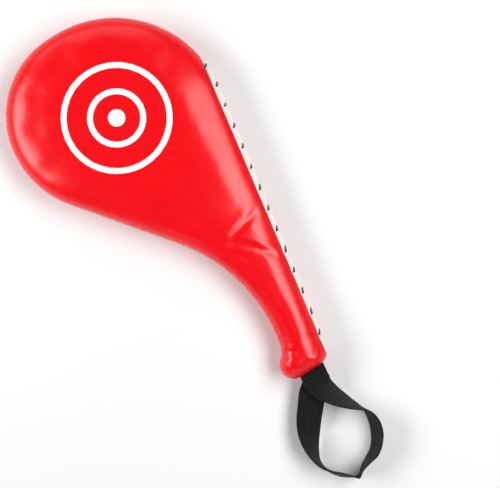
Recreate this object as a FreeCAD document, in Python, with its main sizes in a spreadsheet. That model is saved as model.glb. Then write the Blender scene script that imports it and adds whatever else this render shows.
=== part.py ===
import FreeCAD, Part
import math
import os
import Sketcher
from FreeCAD import Placement, Rotation, Vector

# Padded kick paddle: a laced vinyl cover over foam and a flexible board, with a wrist strap.
# +Y runs from the handle to the tip of the head, +X to the laced side, +Z out of the front face.
# Every piece is drawn about the paddle's middle plane and then lifted by half the head's
# thickness, so that the back face lies on z = 0.

# name: value, in millimetres and degrees
DIMENSIONS = {
    "head_centre_x": -12.2, "head_centre_y": 168.4, "head_radius": 83.6,
    "head_sweep": 77.2, "cheek_radius": 92, "cheek_sweep": 44.9,
    "neck_radius": 157.5, "neck_sweep": 49.9, "waist_radius": 24.4, "waist_sweep": 37.4,
    "pommel_radius": 13.2, "pommel_sweep": 139.8, "heel_radius": 15.4, "heel_sweep": 79.7,
    "laced_length": 259, "shoulder_radius": 105.2, "shoulder_sweep": 92.8,
    "crown_radius": 130.6, "crown_sweep": 12.9,
    "head_thickness": 42, "handle_thickness": 30, "edge_round": 12,
    "ramp_top_y": 64, "ramp_foot_y": -18,
    "cover_wall": 1.5, "soft_layer": 6, "flap_width": 5.5, "flap_foot_width": 3,
    "seam_depth": 5, "seam_wall": 1.2, "seam_channel": 2.4, "seam_thread": 0.8,
    "seam_gap": 7, "seam_start": 24,
    "board_inset": 12, "board_thickness": 3, "board_end_gap": 20, "grip_top_y": 12,
    "emblem_x": 2.4, "emblem_y": 151.2, "emblem_radius": 51, "emblem_stroke": 5.5,
    "emblem_inner": 27, "emblem_dot": 8, "emblem_depth": 0.3,
    "stitch_pitch": 20.8, "stitch_count": 14, "stitch_lead": 25.3, "stitch_bend": 6,
    "stitch_chord": 8, "stitch_depth": 0.8, "thread_width": 1.8,
    "knot_radius": 2.6, "knot_tail": 9, "knot_spread": 30, "knot_drop": 50,
    "webbing_width": 25, "webbing_thickness": 1.6, "tail_length": 36,
    "slot_width": 26, "slot_height": 7, "slot_depth": 36, "mouth_depth": 9,
    "exit_shift": 1.3, "exit_turn": 8,
    "hinge_reach": 5, "hinge_clearance": 3.4, "tail_clearance": 0.5,
    "tack_length": 14, "tack_width": 1.6, "tack_height": 6.8, "tack_start": 21.5,
    "tack_spacing": 8, "pommel_pad_radius": 7.5, "pommel_pad_base": 4, "pommel_pad_height": 7,
}

# Route of the wrist strap's middle line, from the handle round the loop and back: x, y, lean and
# lift. Lean turns the webbing about its own line: 0 lies flat, 90 stands on edge and 180 lies
# flat with its other face up. Lift is the height above where the strap would rest.
STRAP_ROUTE = [
    (-7.0, -155.8, 0, 17.0), (-14.0, -160.5, 3, 15.3), (-22.6, -169.0, 8, 13.0),
    (-31.0, -177.5, 15, 10.2), (-38.0, -186.5, 28, 6.8), (-43.3, -196.0, 46, 3.8),
    (-47.0, -206.5, 66, 1.4), (-48.8, -217.5, 86, 0.3), (-46.5, -227.5, 100, 0.0),
    (-40.5, -237.0, 108, 0.0), (-33.0, -245.5, 104, 0.0), (-27.5, -249.3, 98, 0.0),
    (-20.0, -245.2, 94, 0.0), (-11.0, -242.5, 88, 0.0), (-2.0, -240.0, 80, 0.0),
    (6.0, -234.0, 74, 0.0), (12.5, -225.5, 70, 0.0), (16.3, -215.5, 72, 0.0),
    (16.7, -206.0, 80, 0.3), (13.6, -198.0, 92, 1.0), (9.0, -189.5, 106, 2.8),
    (4.5, -180.5, 119, 5.6), (0.5, -171.0, 133, 9.3), (-2.2, -161.5, 150, 14.0),
    (-2.4, -154.8, 166, 18.2),
]


def make_sheet(doc):
    sheet = doc.addObject("Spreadsheet::Sheet", "sizes")
    for row, (name, value) in enumerate(DIMENSIONS.items(), start=1):
        sheet.set("A%d" % row, name)
        sheet.set("B%d" % row, str(value))
        sheet.setAlias("B%d" % row, name)
    doc.recompute()
    return sheet


doc = FreeCAD.newDocument("kick_paddle")
sizes = make_sheet(doc)
mid_height = sizes.head_thickness / 2
LIFT = Placement(Vector(0, 0, mid_height), Rotation())


# ---------------------------------------------------------------- the paddle's outline

def unit(angle):
    return Vector(math.cos(math.radians(angle)), math.sin(math.radians(angle)), 0)


def outline_steps():
    """Round stretches (radius, sweep, radius cell) and straight stretches (name), anticlockwise
    from the top of the head. A negative sweep is a hollow in the outline."""
    return [
        (sizes.head_radius, sizes.head_sweep, "head_radius"),
        (sizes.cheek_radius, sizes.cheek_sweep, "cheek_radius"),
        "neck_line",
        (sizes.neck_radius, -sizes.neck_sweep, "neck_radius"),
        (sizes.waist_radius, -sizes.waist_sweep, "waist_radius"),
        (sizes.pommel_radius, sizes.pommel_sweep, "pommel_radius"),
        "end_line",
        (sizes.heel_radius, sizes.heel_sweep, "heel_radius"),
        "laced_line",
        (sizes.shoulder_radius, sizes.shoulder_sweep, "shoulder_radius"),
        (sizes.crown_radius, sizes.crown_sweep, "crown_radius"),
    ]


def walk_outline(lengths, inset=0):
    """The outline's pieces, each as a dict, for given lengths of its straight stretches."""
    point = Vector(sizes.head_centre_x, sizes.head_centre_y + sizes.head_radius - inset, 0)
    heading = 180
    pieces = []
    for step in outline_steps():
        if isinstance(step, str):
            end = point + unit(heading) * lengths[step]
            pieces.append({"name": step, "start": point, "end": end, "heading": heading})
        else:
            radius, sweep, cell = step
            side = math.copysign(1, sweep)
            reach = radius - side * inset
            centre = point + unit(heading + 90 * side) * reach
            start_angle = heading - 90 * side
            end = centre + unit(start_angle + sweep) * reach
            pieces.append({"name": cell, "start": point, "end": end, "heading": heading,
                           "centre": centre, "radius": reach, "hollow": side < 0,
                           "from": start_angle, "to": start_angle + sweep})
            heading += sweep
        point = end
    return pieces


def straight_lengths():
    """The laced side is given; the neck's and the end's straight stretches close the outline."""
    lengths = {"neck_line": 0, "end_line": 0, "laced_line": sizes.laced_length}
    pieces = walk_outline(lengths)
    gap = pieces[0]["start"] - pieces[-1]["end"]
    along = {p["name"]: unit(p["heading"]) for p in pieces if p["name"] in lengths}
    neck, end = along["neck_line"], along["end_line"]
    area = neck.x * end.y - neck.y * end.x
    lengths["neck_line"] = (gap.x * end.y - gap.y * end.x) / area
    lengths["end_line"] = (neck.x * gap.y - neck.y * gap.x) / area
    return lengths


LENGTHS = straight_lengths()
OUTLINE = {p["name"]: p for p in walk_outline(LENGTHS)}


def piece_geometry(piece):
    if "centre" not in piece:
        return Part.LineSegment(piece["start"], piece["end"])
    first, last = sorted((math.radians(piece["from"]), math.radians(piece["to"])))
    circle = Part.Circle(piece["centre"], Vector(0, 0, 1), piece["radius"])
    return Part.ArcOfCircle(circle, first, last)


# ---------------------------------------------------------------- bodies and sketches

def plane_of(body, role):
    return next(f for f in body.Origin.OriginFeatures if f.Role == role)


def new_sketch(body, name, role):
    sketch = body.newObject("Sketcher::SketchObject", name)
    sketch.AttachmentSupport = [(plane_of(body, role), "")]
    sketch.MapMode = "FlatFace"
    return sketch


def draw_outline(sketch, inset, inset_cells):
    """Draws the outline, joins its pieces end to end and binds every radius to its cell."""
    pieces = walk_outline(LENGTHS, inset)
    for piece in pieces:
        sketch.addGeometry(piece_geometry(piece), False)
    for i, piece in enumerate(pieces):
        j = (i + 1) % len(pieces)
        leaves = 1 if piece.get("hollow") else 2
        enters = 2 if pieces[j].get("hollow") else 1
        sketch.addConstraint(Sketcher.Constraint("Coincident", i, leaves, j, enters))
    for i, piece in enumerate(pieces):
        if "centre" in piece:
            sketch.addConstraint(Sketcher.Constraint("Radius", i, piece["radius"]))
            sign = "+" if piece["hollow"] else "-"
            formula = "sizes.%s %s (%s)" % (piece["name"], sign, inset_cells)
            sketch.setExpression("Constraints[%d]" % (sketch.ConstraintCount - 1), formula)


def new_body(name):
    body = doc.addObject("PartDesign::Body", name)
    body.Label = name
    body.Placement = LIFT
    return body


def outline_plate(name, inset_cells, thickness_cells):
    """A flat plate of the outline, inset all round, centred on the middle plane."""
    body = new_body(name)
    sketch = new_sketch(body, name + "_outline", "XY_Plane")
    draw_outline(sketch, cell_value(inset_cells), inset_cells)
    pad = body.newObject("PartDesign::Pad", name + "_pad")
    pad.Profile = sketch
    pad.SideType = "Symmetric"
    pad.setExpression("Length", thickness_cells)
    doc.recompute()
    return body


def cell_value(formula):
    """The value of a sum of cells, such as sizes.cover_wall + sizes.soft_layer."""
    total = 0
    for term in formula.split("+"):
        term = term.strip()
        total += getattr(sizes, term[len("sizes."):]) if term.startswith("sizes.") else float(term)
    return total


def ramp_sketch(body, name, inset):
    """What the handle is thinner by, seen from the side, above the front face."""
    sketch = new_sketch(body, name, "YZ_Plane")
    drop = (sizes.head_thickness - sizes.handle_thickness) / 2
    top = sizes.head_thickness / 2 - inset
    length = sizes.ramp_top_y - sizes.ramp_foot_y
    radius = (length ** 2 + drop ** 2) / (4 * drop)
    half_turn = math.asin(length / (2 * radius))
    upper_centre = Vector(sizes.ramp_top_y, top + inset - radius, 0)
    lower_centre = Vector(sizes.ramp_foot_y, top + inset - drop + radius, 0)
    crest = upper_centre + Vector(0, radius - inset, 0)
    foot = lower_centre - Vector(0, radius + inset, 0)
    slope = Vector(-math.sin(half_turn), math.cos(half_turn), 0)
    middle = upper_centre + slope * (radius - inset)
    end_y = -sizes.head_centre_y * 2
    above = sizes.head_thickness
    upper = Part.Arc(crest, upper_centre + unit(90 + math.degrees(half_turn) / 2) * (radius - inset),
                     middle)
    lower = Part.Arc(middle, lower_centre + unit(270 + math.degrees(half_turn) / 2)
                     * (radius + inset), foot)
    corners = [foot, Vector(end_y, foot.y, 0), Vector(end_y, above, 0), Vector(crest.x, above, 0),
               crest]
    sketch.addGeometry(upper, False)
    sketch.addGeometry(lower, False)
    for start, end in zip(corners, corners[1:]):
        sketch.addGeometry(Part.LineSegment(start, end), False)
    return sketch


def is_wall(face):
    u0, u1, v0, v1 = face.ParameterRange
    return abs(face.normalAt((u0 + u1) / 2, (v0 + v1) / 2).z) < 1e-6


def rim_edges(shape):
    """The edges where an upright wall meets the front or the back face."""
    names = []
    for number, edge in enumerate(shape.Edges, start=1):
        walls = [face for face in shape.ancestorsOfType(edge, Part.Face) if is_wall(face)]
        if len(walls) == 1:
            names.append("Edge%d" % number)
    return names


def padded_form(name, inset_cells):
    """The paddle's rounded form, thick at the head and thinner along the handle."""
    inset = cell_value(inset_cells)
    body = outline_plate(name, inset_cells, "sizes.head_thickness - 2 * (%s)" % inset_cells)
    solid_volume = body.Shape.Volume
    pocket = body.newObject("PartDesign::Pocket", name + "_handle_front")
    pocket.Profile = ramp_sketch(body, name + "_ramp", inset)
    pocket.Type = "ThroughAll"
    pocket.SideType = "Symmetric"
    mirror = body.newObject("PartDesign::Mirrored", name + "_handle_back")
    mirror.Originals = [pocket]
    mirror.MirrorPlane = (plane_of(body, "XY_Plane"), [""])
    body.Tip = mirror
    doc.recompute()
    if not body.Shape.Volume < 0.98 * solid_volume:
        raise RuntimeError(name + ": the handle's step removed nothing")
    fillet = body.newObject("PartDesign::Fillet", name + "_round")
    fillet.Base = (mirror, rim_edges(mirror.Shape))
    fillet.setExpression("Radius", "sizes.edge_round - (%s)" % inset_cells)
    body.Tip = fillet
    doc.recompute()
    return body


# ---------------------------------------------------------------- booleans and placing

def cut(name, base, *tools):
    result = doc.addObject("Part::Cut", name)
    result.Base = base
    result.Tool = tools[0] if len(tools) == 1 else fuse(name + "_removed", *tools)
    return result


def common(name, *shapes):
    result = doc.addObject("Part::MultiCommon", name)
    result.Shapes = list(shapes)
    return result


def fuse(name, *shapes):
    result = doc.addObject("Part::MultiFuse", name)
    result.Shapes = list(shapes)
    return result


def turned(heading, origin, along=0, side=0, height=0):
    """A placement whose X axis runs along heading, moved from origin in its own directions."""
    shift = unit(heading) * along + unit(heading + 90) * side
    spot = origin + shift + Vector(0, 0, mid_height + height)
    return Placement(spot, Rotation(Vector(0, 0, 1), heading))


def box(name, placement, length, width, height):
    """A box centred on its placement's X axis and height, with sizes given as formulas."""
    result = doc.addObject("Part::Box", name)
    for prop, formula in (("Length", length), ("Width", width), ("Height", height)):
        result.setExpression(prop, formula)
    doc.recompute()
    centring = Placement(Vector(0, -result.Width.Value / 2, -result.Height.Value / 2), Rotation())
    result.Placement = placement * centring
    return result


def mirrored(name, front):
    """The same piece on the back of the middle plane."""
    result = doc.addObject("Part::Mirroring", name)
    result.Source = front
    result.Normal = Vector(0, 0, 1)
    result.Base = Vector(0, 0, mid_height)
    return result


def solid_group(name, solids):
    feature = doc.addObject("Part::Feature", name)
    feature.Shape = solids[0] if len(solids) == 1 else Part.makeCompound(solids)
    return feature


# ---------------------------------------------------------------- spaces shared by the pieces

far = "8 * sizes.head_radius"
laced = OUTLINE["laced_line"]
end_line = OUTLINE["end_line"]
outward_end = end_line["heading"] - 90 - sizes.exit_turn
end_middle = (end_line["start"] + end_line["end"]) * 0.5
exit_point = end_middle + unit(end_line["heading"]) * sizes.exit_shift
hinge_point = exit_point + unit(outward_end) * sizes.hinge_reach
origin = Vector()

front_space = box("front_space", turned(0, origin, along=-4 * sizes.head_radius,
                                        height=1.5 * sizes.head_radius),
                  far, far, "3 * sizes.head_radius")
head_space = box("head_space", turned(90, origin, along=sizes.grip_top_y), far, far, far)


def laced_strip(name, foot_width, top_width):
    """The space beyond a line along the laced side, given its distance in from the edge."""
    lean = math.degrees(math.atan((top_width - foot_width) / sizes.laced_length))
    place = turned(laced["heading"] + lean, laced["start"], along=-sizes.head_radius,
                   side=foot_width - 1.5 * sizes.head_radius)
    return box(name, place, far, "3 * sizes.head_radius", far)


lace_band = laced_strip("lace_band", sizes.flap_foot_width, sizes.flap_width)
seam_stop = laced_strip("seam_stop", sizes.seam_gap, sizes.seam_gap)
slot_place = turned(outward_end + 180, exit_point, along=-sizes.hinge_reach)
strap_slot = box("strap_slot", slot_place, "sizes.slot_depth + sizes.hinge_reach",
                 "sizes.slot_width", "sizes.slot_height")
cover_mouth = box("cover_mouth", slot_place, "sizes.mouth_depth + sizes.hinge_reach",
                  "sizes.slot_width", "sizes.slot_height")

cover_form = padded_form("cover_form", "0")
lining_form = padded_form("lining_form", "sizes.cover_wall")
core_form = padded_form("core_form", "sizes.cover_wall + sizes.soft_layer")


def seam_ring(name, height):
    """A flat ring just inside the cover's wall, where the seam's edges lie turned in."""
    outer = outline_plate(name + "_outer", "sizes.seam_wall", height)
    inner = outline_plate(name + "_inner", "sizes.cover_wall + sizes.seam_depth", height)
    return cut(name, outer, inner)


seam_rim = seam_ring("seam_rim", "2 * sizes.seam_wall")
seam_channel = seam_ring("seam_channel", "2 * sizes.seam_channel")


# ---------------------------------------------------------------- emblem

def make_emblem():
    """A plain target of two rings and a dot, printed into the cover's face."""
    sketch = doc.addObject("Sketcher::SketchObject", "target_rings")
    circles = [("sizes.emblem_radius", sizes.emblem_radius),
               ("sizes.emblem_radius - sizes.emblem_stroke", sizes.emblem_radius - sizes.emblem_stroke),
               ("sizes.emblem_inner", sizes.emblem_inner),
               ("sizes.emblem_inner - sizes.emblem_stroke", sizes.emblem_inner - sizes.emblem_stroke),
               ("sizes.emblem_dot", sizes.emblem_dot)]
    for number, (formula, radius) in enumerate(circles):
        sketch.addGeometry(Part.Circle(Vector(), Vector(0, 0, 1), radius), False)
        sketch.addConstraint(Sketcher.Constraint("Radius", number, radius))
        sketch.setExpression("Constraints[%d]" % number, formula)
    sketch.Placement = Placement(Vector(sizes.emblem_x, sizes.emblem_y,
                                        sizes.head_thickness - sizes.emblem_depth), Rotation())
    emblem = doc.addObject("Part::Extrusion", "front_emblem")
    emblem.Base = sketch
    emblem.DirMode = "Custom"
    emblem.Dir = Vector(0, 0, 1)
    emblem.setExpression("LengthFwd", "sizes.emblem_depth")
    emblem.Solid = True
    emblem.FaceMakerClass = "Part::FaceMakerBullseye"
    return emblem


front_emblem = make_emblem()
back_emblem = mirrored("back_emblem", front_emblem)


# ---------------------------------------------------------------- lacing

def ridge(distance):
    """The point and the outward heading on the laced edge, measured down from the shoulder."""
    if distance >= 0:
        return laced["end"] - unit(laced["heading"]) * distance, laced["heading"] - 90
    shoulder = OUTLINE["shoulder_radius"]
    angle = shoulder["from"] - math.degrees(distance / shoulder["radius"])
    return shoulder["centre"] + unit(angle) * shoulder["radius"], angle


def make_stitch(distance):
    """A bent length of thread over the laced edge, its ends sunk in the two flaps."""
    point, outward = ridge(distance)
    half_turn = math.degrees(math.asin(sizes.stitch_chord / 2 / sizes.stitch_bend))
    to_chord = sizes.stitch_bend * math.cos(math.radians(half_turn))
    centre = point - unit(outward) * (sizes.stitch_depth + to_chord) + Vector(0, 0, mid_height)
    end = Part.makeCircle(sizes.thread_width / 2, Vector(sizes.stitch_bend, 0, 0), Vector(0, 1, 0))
    stitch = Part.Face(Part.Wire(end)).revolve(Vector(), Vector(0, 0, 1), 2 * half_turn)
    stitch.Placement = (Placement(centre, Rotation(Vector(0, 0, 1), outward))
                        * Placement(Vector(), Rotation(Vector(1, 0, 0), 90))
                        * Placement(Vector(), Rotation(Vector(0, 0, 1), -half_turn)))
    return stitch


def make_knot():
    """The knot that ends the lacing, on the back of the handle's heel, with two cut tails."""
    heel = OUTLINE["heel_radius"]
    outward = unit(laced["heading"] - 90)
    up = Vector(0, 0, 1)
    drop = math.radians(sizes.knot_drop)
    away = outward * math.cos(drop) - up * math.sin(drop)
    beneath = -outward * math.sin(drop) - up * math.cos(drop)
    round_height = mid_height - sizes.handle_thickness / 2 + sizes.edge_round
    round_centre = heel["centre"] + outward * (heel["radius"] - sizes.edge_round) + up * round_height
    spot = round_centre + away * (sizes.edge_round + sizes.knot_radius)
    knot = Part.makeSphere(sizes.knot_radius, spot)
    for angle in (0, math.radians(sizes.knot_spread)):
        way = unit(laced["heading"]) * math.cos(angle) + beneath * math.sin(angle)
        tail = Part.makeCylinder(sizes.thread_width / 2, sizes.knot_tail, spot, way)
        knot = knot.fuse(tail)
    return knot.removeSplitter()


stitch_spots = [k * sizes.stitch_pitch - sizes.stitch_lead for k in range(int(sizes.stitch_count))]
lacing_stitches = solid_group("lacing_stitches", [make_stitch(spot) for spot in stitch_spots])
lacing_knot = solid_group("lacing_knot", [make_knot()])


# ---------------------------------------------------------------- covers and flaps

cover_shell = cut("cover_shell", cover_form, lining_form)
front_shell = common("front_shell", cover_shell, front_space)
front_rim_blank = common("front_rim_blank", seam_rim, front_space)
front_rim = cut("front_rim", front_rim_blank, strap_slot, seam_stop)
front_panel = fuse("front_panel", front_shell, front_rim)
front_cover = cut("front_cover", front_panel, lace_band, cover_mouth, front_emblem)
back_cover = mirrored("back_cover", front_cover)

front_flap_blank = common("front_flap_blank", front_shell, lace_band)
front_lace_flap = cut("front_lace_flap", front_flap_blank, lacing_stitches)
back_lace_flap = mirrored("back_lace_flap", front_lace_flap)


def make_seam_thread():
    """The needle thread and the bobbin thread along the seam round the cover's closed side."""
    walk = walk_outline(LENGTHS, sizes.cover_wall + sizes.seam_depth / 2)
    shoulder = dict(walk[-2])
    shoulder["from"] += sizes.seam_start
    pieces = [shoulder, walk[-1]] + walk[:5]
    threads = []
    for side in (1, -1):
        height = mid_height + side * (sizes.seam_wall + sizes.seam_thread / 2)
        lift = Vector(0, 0, height)
        runs = []
        for piece in pieces:
            if "centre" in piece:
                run = Part.makeTorus(piece["radius"], sizes.seam_thread / 2, Vector(),
                                     Vector(0, 0, 1), -180, 180, abs(piece["to"] - piece["from"]))
                start = min(piece["from"], piece["to"])
                run.Placement = Placement(piece["centre"] + lift,
                                          Rotation(Vector(0, 0, 1), start))
            else:
                along = piece["end"] - piece["start"]
                run = Part.makeCylinder(sizes.seam_thread / 2, along.Length,
                                        piece["start"] + lift, along)
            runs.append(run)
        threads.append(runs[0].multiFuse(runs[1:]).removeSplitter())
    return threads


seam_threads = solid_group("seam_threads", make_seam_thread())
cover_seam_stitching = cut("cover_seam_stitching", seam_threads, strap_slot)


# ---------------------------------------------------------------- inside: board, straps, foam

board_blank = outline_plate("board_blank", "sizes.board_inset", "sizes.board_thickness")
board_end = box("board_end", turned(outward_end, exit_point, along=-sizes.board_end_gap),
                far, far, far)


def make_tails():
    """The strap's two ends, one on each face of the board, just short of the hinge line."""
    tails = []
    for name, side in (("front_tail", 1), ("back_tail", -1)):
        height = side * (sizes.board_thickness + sizes.webbing_thickness) / 2
        start = sizes.tail_clearance - sizes.hinge_reach
        place = turned(outward_end + 180, exit_point, along=start, height=height)
        tails.append(box(name, place, "sizes.tail_length", "sizes.webbing_width",
                         "sizes.webbing_thickness"))
    return fuse("tail_pair", *tails)


def make_tacks():
    """Two bars of stitching through both tails and the board."""
    bars = []
    for number in range(2):
        along = sizes.tack_start + number * sizes.tack_spacing
        place = turned(outward_end + 180, exit_point, along=along)
        bars.append(box("tack_%d" % (number + 1), place, "sizes.tack_width", "sizes.tack_length",
                        "sizes.tack_height"))
    return fuse("strap_bar_tacks", *bars)


strap_bar_tacks = make_tacks()
strap_tails = cut("strap_tails", make_tails(), strap_bar_tacks)
spine_board = cut("spine_board", board_blank, board_end, strap_bar_tacks)


def make_pommel_pads():
    """Two foam discs that fill out the lump at the end of the handle, front and back."""
    pommel = OUTLINE["pommel_radius"]["centre"]
    pads = []
    for name, height in (("front_pommel_pad", sizes.pommel_pad_base),
                         ("back_pommel_pad", -sizes.pommel_pad_base - sizes.pommel_pad_height)):
        pad = doc.addObject("Part::Cylinder", name)
        pad.setExpression("Radius", "sizes.pommel_pad_radius")
        pad.setExpression("Height", "sizes.pommel_pad_height")
        pad.Placement = turned(0, pommel, height=height)
        pads.append(pad)
    return fuse("pommel_pads", *pads)


pommel_pads = make_pommel_pads()
soft_shell = cut("soft_shell", lining_form, core_form)
front_soft_blank = common("front_soft_blank", soft_shell, front_space)
front_soft_layer = cut("front_soft_layer", front_soft_blank, seam_channel, strap_slot, pommel_pads)
back_soft_layer = mirrored("back_soft_layer", front_soft_layer)

front_core = common("front_core", core_form, front_space)
front_strike_blank = common("front_strike_blank", front_core, head_space)
front_strike_foam = cut("front_strike_foam", front_strike_blank, board_blank)
back_strike_foam = mirrored("back_strike_foam", front_strike_foam)
front_grip_foam = cut("front_grip_foam", front_core, head_space, board_blank, strap_slot,
                      pommel_pads)
back_grip_foam = mirrored("back_grip_foam", front_grip_foam)


# ---------------------------------------------------------------- wrist strap

def rest_height(lean):
    """How high the webbing's middle line is when its lower edge touches the surface."""
    turn = math.radians(lean)
    return (sizes.webbing_width / 2 * abs(math.sin(turn))
            + sizes.webbing_thickness / 2 * abs(math.cos(turn)))


def webbing_section(point, heading, lean):
    """The webbing's rectangle across its line, leaned about that line."""
    side = unit(heading + 90)
    turn = math.radians(lean)
    across = side * math.cos(turn) - Vector(0, 0, 1) * math.sin(turn)
    through = unit(heading).cross(across)
    half_width = across * (sizes.webbing_width / 2)
    half_thick = through * (sizes.webbing_thickness / 2)
    corners = [point - half_width - half_thick, point + half_width - half_thick,
               point + half_width + half_thick, point - half_width + half_thick]
    return Part.makePolygon(corners + corners[:1])


def make_strap():
    """One length of webbing round the loop, a ruled skin from section to section."""
    layer = (sizes.board_thickness + sizes.webbing_thickness) / 2
    start = hinge_point + unit(outward_end) * sizes.hinge_clearance
    lower_end = start + Vector(0, 0, mid_height - layer)
    upper_end = start + Vector(0, 0, mid_height + layer)
    points = [Vector(x, y, rest_height(lean) + lift) for x, y, lean, lift in STRAP_ROUTE]
    points = [lower_end] + points + [upper_end]
    leans = [0] + [lean for x, y, lean, lift in STRAP_ROUTE] + [180]
    headings = [outward_end]
    for before, after in zip(points, points[2:]):
        run = after - before
        headings.append(math.degrees(math.atan2(run.y, run.x)))
    headings.append(outward_end + 180)
    sections = [webbing_section(*item) for item in zip(points, headings, leans)]
    length = sum((b - a).Length for a, b in zip(points, points[1:]))
    print("wrist strap, mm from hinge to hinge:", round(length, 1))
    return Part.makeLoft(sections, True, True)


wrist_strap = solid_group("wrist_strap", [make_strap()])


# ---------------------------------------------------------------- checks and output

PIECES = [front_cover, back_cover, front_lace_flap, back_lace_flap, lacing_stitches, lacing_knot,
          cover_seam_stitching, front_emblem, back_emblem, front_soft_layer, back_soft_layer,
          front_strike_foam, back_strike_foam, front_grip_foam, back_grip_foam, spine_board,
          pommel_pads, strap_tails, strap_bar_tacks, wrist_strap]

doc.recompute()
for item in doc.Objects:
    if "Invalid" in item.State or "Error" in item.State:
        raise RuntimeError("%s failed: %s" % (item.Label, item.State))
os.makedirs("parts", exist_ok=True)
for piece in PIECES:
    shape = piece.Shape
    if shape.isNull() or not shape.isValid() or not shape.Solids:
        raise RuntimeError(piece.Label + ": no valid solid")
for piece in PIECES:
    piece.Shape.exportStep("parts/%s.step" % piece.Label)
    print(piece.Label, len(piece.Shape.Solids), round(piece.Shape.Volume))
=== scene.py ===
import math
import bmesh
import bpy
import numpy as np
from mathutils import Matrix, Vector
from mathutils.bvhtree import BVHTree


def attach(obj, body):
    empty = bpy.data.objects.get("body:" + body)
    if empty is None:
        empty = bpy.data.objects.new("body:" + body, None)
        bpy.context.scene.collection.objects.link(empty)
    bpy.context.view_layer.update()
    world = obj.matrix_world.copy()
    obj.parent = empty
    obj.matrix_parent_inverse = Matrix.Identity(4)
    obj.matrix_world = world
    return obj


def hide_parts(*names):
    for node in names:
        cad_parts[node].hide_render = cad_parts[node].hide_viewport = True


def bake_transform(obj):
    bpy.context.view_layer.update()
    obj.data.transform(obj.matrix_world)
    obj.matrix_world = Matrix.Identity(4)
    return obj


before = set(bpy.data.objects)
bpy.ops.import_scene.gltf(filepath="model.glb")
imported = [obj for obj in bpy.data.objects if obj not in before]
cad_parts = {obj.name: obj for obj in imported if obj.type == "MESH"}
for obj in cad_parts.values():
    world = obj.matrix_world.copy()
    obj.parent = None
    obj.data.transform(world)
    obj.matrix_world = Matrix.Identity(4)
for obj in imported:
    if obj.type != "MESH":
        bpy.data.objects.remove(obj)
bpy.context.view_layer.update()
scene = bpy.context.scene
MM = 0.001

# Sizes in millimetres, as on the CAD model apart from WALL, the cover's thickness, which is 1.5 there.
# +Y runs to the tip of the head, +X to the laced side, +Z out of the front face. The paddle's middle
# plane is at MID.
MID = 21.0
TIP = np.array([-12.2, 252.0])
HEAD_HALF, HANDLE_HALF = 21.0, 15.0
RAMP_TOP, RAMP_FOOT = 64.0, -18.0
WALL = 1.2
FLAP, FLAP_FOOT = 5.5, 3.0
LACED_LENGTH, SHOULDER, HEEL = 259.0, 105.2, 15.4
PITCH, FIRST_STITCH, STITCHES = 20.8, -25.3, 14
HINGE = np.array([-1.60809, -146.83854])
OUTWARD = math.radians(256.6)
LEG_GAP = 2.3
TAIL = 36.0
WEB_WIDTH, WEB_THICK = 25.0, 1.6
EMBLEM_CENTRE = np.array([2.4, 151.2])
POMMEL = np.array([-10.6, -127.7])

# The wrist strap's route: x, y, lean about its own line, and lift above where it would rest.
STRAP_ROUTE = [
    (-7.0, -155.8, 0, 17.0), (-14.0, -160.5, 3, 15.3), (-22.6, -169.0, 8, 13.0),
    (-31.0, -177.5, 15, 10.2), (-38.0, -186.5, 28, 6.8), (-43.3, -196.0, 46, 3.8),
    (-47.0, -206.5, 66, 1.4), (-48.8, -217.5, 86, 0.3), (-46.5, -227.5, 100, 0.0),
    (-40.5, -237.0, 108, 0.0), (-33.0, -245.5, 104, 0.0), (-27.5, -249.3, 98, 0.0),
    (-20.0, -245.2, 94, 0.0), (-11.0, -242.5, 88, 0.0), (-2.0, -240.0, 80, 0.0),
    (6.0, -234.0, 74, 0.0), (12.5, -225.5, 70, 0.0), (16.3, -215.5, 72, 0.0),
    (16.7, -206.0, 80, 0.3), (13.6, -198.0, 92, 1.0), (9.0, -189.5, 106, 2.8),
    (4.5, -180.5, 119, 5.6), (0.5, -171.0, 133, 9.3), (-2.2, -161.5, 150, 14.0),
    (-2.4, -154.8, 166, 18.2),
]


# ---------------------------------------------------------------- camera, light and floor

def make_camera():
    data = bpy.data.cameras.new("camera")
    data.lens = 69.5
    data.sensor_width = 36
    data.clip_start, data.clip_end = 0.05, 20
    camera = bpy.data.objects.new("camera", data)
    scene.collection.objects.link(camera)
    camera.location = (0.0269, -0.0141, 0.921)
    camera.rotation_euler = (0, 0, -math.atan2(0.618, 0.786))
    scene.camera = camera


def area_light(name, spot, target, size, power, colour=(1, 1, 1)):
    data = bpy.data.lights.new(name, "AREA")
    data.shape = "RECTANGLE"
    data.size, data.size_y = size
    data.energy = power
    data.color = colour
    light = bpy.data.objects.new(name, data)
    scene.collection.objects.link(light)
    light.location = spot
    light.rotation_euler = (Vector(target) - Vector(spot)).to_track_quat("-Z", "Y").to_euler()


def in_view(right, up, height):
    """A place given by the picture's right and up, from the middle of the object."""
    return (0.786 * right + 0.618 * up, -0.618 * right + 0.786 * up, height)


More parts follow.
